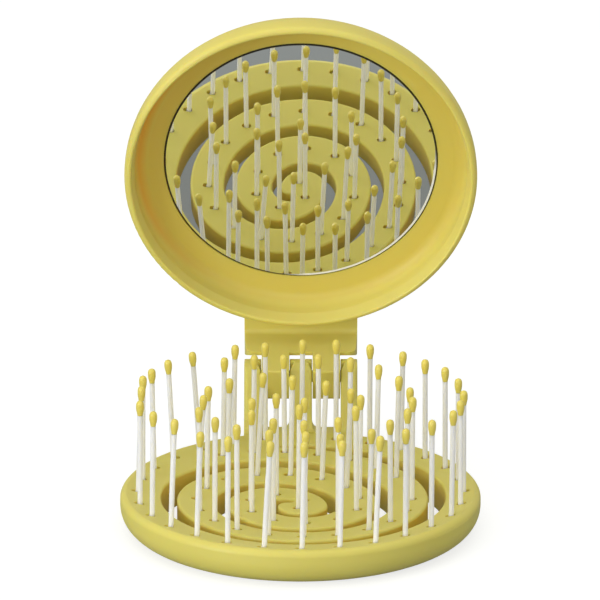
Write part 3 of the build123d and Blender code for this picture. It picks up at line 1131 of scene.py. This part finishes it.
    def thickness(self, tree: Tree, given: Sockets, span: Span) -> Socket:
        """Find the bristle's radius at each point of its line.

        Args:
            tree: The geometry tree.
            given: The tree's inputs.
            span: The shaft or the bead.

        Returns:
            The radius, in metres.
        """
        along = add_node(tree, "GeometryNodeSplineParameter")
        width = add_node(tree, "ShaderNodeFloatCurve", inputs={"Value": along.outputs["Factor"]})
        self.shape_width(width, span)
        scaled = add_node(
            tree,
            "ShaderNodeMath",
            settings={"operation": "MULTIPLY"},
            inputs={0: width.outputs[0], 1: given["Radius"]},
        )
        stored = add_node(
            tree,
            "GeometryNodeInputNamedAttribute",
            settings={"data_type": "FLOAT"},
            inputs={"Name": "girth"},
        )
        grown = add_node(
            tree,
            "ShaderNodeMath",
            settings={"operation": "MULTIPLY"},
            inputs={0: scaled.outputs[0], 1: stored.outputs["Attribute"]},
        )
        return grown.outputs[0]

    def shape_width(self, node: bpy.types.Node, span: Span) -> None:
        """Draw how wide the bristle is along the stretch, as a share of its widest.

        Args:
            node: The float curve to set.
            span: The shaft is even; the bead is a teardrop, widest near its top.
        """
        points = self.profile[span]
        curve = node.mapping.curves[0]
        while len(curve.points) < len(points):
            curve.points.new(0.5, 0.5)
        for point, (x, y) in zip(curve.points, points):
            point.location = (x, y)
        node.mapping.update()

    def grow(
        self,
        row: str,
        roots: list[tuple[float, float]],
        tree: Tree,
        span: Span,
        finish: bpy.types.Material,
    ) -> bpy.types.Object:
        """Grow one row of shafts or beads and turn it to a plain mesh.

        Args:
            row: The row's name.
            roots: Where the bristles stand, in millimetres.
            tree: The tree from tree().
            span: The stretch that the tree grows.
            finish: The material.

        Returns:
            The object, at the origin.
        """
        name = f"bristle_{row}_{span.value}"
        points = bpy.data.meshes.new(name + "_roots")
        places = [(x * MM, y * MM, self.head.surface(x, y) * MM) for x, y in roots]
        points.from_pydata(places, [], [])
        feet = points.attributes.new("foot", "FLOAT_VECTOR", "POINT")
        leans = points.attributes.new("lean", "FLOAT_VECTOR", "POINT")
        tops = zip(self.lean_across[row], self.lean_back[row])
        for foot, lean, (across, back) in zip(feet.data, leans.data, tops):
            shift = max(-self.recess_play, min(self.recess_play, self.foot_share * across))
            foot.vector = (shift * MM, 0.0, 0.0)
            lean.vector = ((across - shift) * MM, back * MM, 0.0)
        holder = bpy.data.objects.new(name + "_holder", points)
        bpy.context.scene.collection.objects.link(holder)
        shaft = span is Span.SHAFT
        bead_foot = self.stand - self.bead_length
        values = {
            "From": (-self.root_depth if shaft else bead_foot) * MM,
            "To": (bead_foot + self.bead_grip if shaft else self.stand) * MM,
            "Stand": self.stand * MM,
            "Radius": (self.shaft_radius if shaft else self.bead_radius) * MM,
            "Recess": self.recess_depth * MM,
            "Spread": 0.0 if shaft else self.bead_spread,
            "Seed": self.seed + len(roots),
            "Finish": finish,
        }
        modifier = holder.modifiers.new("grow", "NODES")
        modifier.node_group = tree
        for item in tree.interface.items_tree:
            if item.in_out == "INPUT" and item.name in values:
                modifier[item.identifier] = values[item.name]
        evaluated = holder.evaluated_get(bpy.context.evaluated_depsgraph_get())
        mesh = bpy.data.meshes.new_from_object(evaluated)
        mesh.name = name
        bpy.data.objects.remove(holder)
        piece = bpy.data.objects.new(name, mesh)
        bpy.context.scene.collection.objects.link(piece)
        return piece

    def build(self, finishes: FinishSet) -> None:
        """Grow every row on the base body and let it stand for the row's CAD node.

        Args:
            finishes: The set that the nylon and the epoxy come from.
        """
        for span, slot in ((Span.SHAFT, Slot.NYLON), (Span.TIP, Slot.TIP)):
            tree = self.tree(span)
            for row, roots in self.rows().items():
                piece = self.grow(row, roots, tree, span, finishes.by_slot[slot])
                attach(piece, Body.BASE.value)
                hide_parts(f"{row}_{span.value}")
                LOG.info("%s: %d bristles", piece.name, len(roots))


@dataclass
class Studio:
    """A plain floor, soft lamps and the camera.

    The camera and what shines through see the surroundings white, the floor nearly so, and mirrors
    see the floor grey.

    Attributes:
        floor_half: Half the floor's edge, in metres.
        floor_gap_mm: How far the floor lies below the base.
        floor_glow: The light added to the floor for the camera alone.
        paper_colour: The floor's own colour, which the object's shadow falls on.
        mirrored_colour: The floor as mirrors see it.
        mirrored_share: How much of that shows in place of the paper.
        fill_colour: The surroundings' colour.
        surround: How strongly the surroundings light the object.
        lamp_aim: The point that the lamps face, in metres.
        camera_place: Where the camera stands, in metres.
        camera_look: The way that it looks.
        lens_mm: Its focal length.
    """

    floor_half: float = 3.0
    floor_gap_mm: float = 0.1
    floor_glow: float = 0.74
    paper_colour: str = "A4A6A6"
    mirrored_colour: str = "8E9292"
    mirrored_share: float = 0.7
    fill_colour: str = "FFFDF8"
    surround: float = 0.52
    lamp_aim: tuple[float, float, float] = (0.0, 0.0, 0.06)
    camera_place: tuple[float, float, float] = (0.00196, -1.00391, 0.36802)
    camera_look: tuple[float, float, float] = (-0.00196, 0.9551, -0.2961)
    lens_mm: float = 265.4

    def floor(self) -> None:
        """Lay the pale floor, near white to the camera, which keeps the object's soft shadow."""
        mesh = bpy.data.meshes.new("studio_floor")
        half, low = self.floor_half, -self.floor_gap_mm * MM
        mesh.from_pydata(
            [(-half, -half, low), (half, -half, low), (half, half, low), (-half, half, low)],
            [],
            [(0, 1, 2, 3)],
        )
        floor = bpy.data.objects.new("studio_floor", mesh)
        bpy.context.scene.collection.objects.link(floor)
        mat, tree = blank_material("paper_white_seamless")
        path = add_node(tree, "ShaderNodeLightPath").outputs
        paper = add_node(tree, "ShaderNodeBsdfDiffuse", inputs={"Color": linear(self.paper_colour)})
        grey = add_node(
            tree,
            "ShaderNodeEmission",
            inputs={"Color": linear(self.mirrored_colour), "Strength": 1.0},
        )
        mirrored = add_node(
            tree,
            "ShaderNodeMath",
            settings={"operation": "MULTIPLY"},
            inputs={0: path["Is Glossy Ray"], 1: self.mirrored_share},
        )
        plain = add_node(
            tree,
            "ShaderNodeMixShader",
            inputs={0: mirrored.outputs[0], 1: paper.outputs[0], 2: grey.outputs[0]},
        )
        seen = add_node(
            tree,
            "ShaderNodeMath",
            settings={"operation": "MULTIPLY"},
            inputs={0: path["Is Camera Ray"], 1: self.floor_glow},
        )
        white = add_node(
            tree,
            "ShaderNodeEmission",
            inputs={"Color": (1, 1, 1, 1), "Strength": seen.outputs[0]},
        )
        shown = add_node(
            tree,
            "ShaderNodeAddShader",
            inputs={0: plain.outputs[0], 1: white.outputs[0]},
        )
        add_node(tree, "ShaderNodeOutputMaterial", inputs={"Surface": shown.outputs[0]})
        mesh.materials.append(mat)

    def lamp(self, name: str, place: tuple[float, float, float], size: float, watts: float) -> None:
        """Hang a soft square lamp that faces the object.

        Args:
            name: The lamp's name.
            place: Where it hangs, in metres.
            size: Its edge length in metres.
            watts: Its power.
        """
        light = bpy.data.lights.new(name, "AREA")
        light.size = size
        light.energy = watts
        lamp = bpy.data.objects.new(name, light)
        lamp.location = place
        look = Vector(self.lamp_aim) - Vector(place)
        lamp.rotation_euler = look.to_track_quat("-Z", "Y").to_euler()
        bpy.context.scene.collection.objects.link(lamp)

    def lights(self) -> None:
        """Set the pale surroundings and the lamps."""
        world = bpy.data.worlds.new("studio")
        bpy.context.scene.world = world
        world.use_nodes = True
        tree = world.node_tree
        tree.nodes.clear()
        path = add_node(tree, "ShaderNodeLightPath").outputs
        direct = add_node(
            tree,
            "ShaderNodeMath",
            settings={"operation": "MAXIMUM"},
            inputs={0: path["Is Camera Ray"], 1: path["Is Transmission Ray"]},
        )
        strength = add_node(
            tree,
            "ShaderNodeMapRange",
            inputs={"Value": direct.outputs[0], "To Min": self.surround, "To Max": 1.0},
        )
        sky = add_node(
            tree,
            "ShaderNodeBackground",
            inputs={"Color": linear(self.fill_colour), "Strength": strength.outputs["Result"]},
        )
        add_node(tree, "ShaderNodeOutputWorld", inputs={"Surface": sky.outputs["Background"]})
        self.lamp("softbox_key", (-1.2, -1.0, 0.34), 0.8, 12.5)
        self.lamp("softbox_fill", (0.1, -1.45, 0.18), 0.8, 5.5)
        self.lamp("softbox_top", (0.0, -0.1, 1.38), 1.4, 6.3)

    def camera(self) -> None:
        """Place the camera at the viewing angle."""
        data = bpy.data.cameras.new("camera")
        data.sensor_width = 36.0
        data.lens = self.lens_mm
        data.clip_end = 20.0
        camera = bpy.data.objects.new("camera", data)
        camera.location = self.camera_place
        camera.rotation_euler = Vector(self.camera_look).to_track_quat("-Z", "Y").to_euler()
        bpy.context.scene.collection.objects.link(camera)
        bpy.context.scene.camera = camera

    def build(self) -> None:
        """Make the camera, the floor and the lamps."""
        self.camera()
        self.floor()
        self.lights()
        bpy.context.scene.view_settings.view_transform = "Standard"


def main() -> None:
    """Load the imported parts, dress them and grow the bristles."""
    logging.basicConfig(level=logging.INFO, format="%(message)s")
    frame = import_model()
    Studio().build()
    low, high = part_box("mirror_glass")
    finishes = FinishSet((Vector(low) + Vector(high)) / 2)
    nodes = frame["nodes"]
    for name, finish in (
        ("brush_body", finishes.by_slot[Slot.YELLOW]),
        ("back_cover", finishes.by_slot[Slot.YELLOW]),
        ("lid_frame", finishes.lid_plastic),
        ("mirror_glass", finishes.by_slot[Slot.MIRROR]),
        ("mirror_adhesive", finishes.by_slot[Slot.PAD]),
        ("hinge_pin", finishes.by_slot[Slot.STEEL]),
    ):
        finishes.dress(nodes[name], finish)
    BristleField(BrushHead()).build(finishes)


if __name__ == "__main__":
    main()
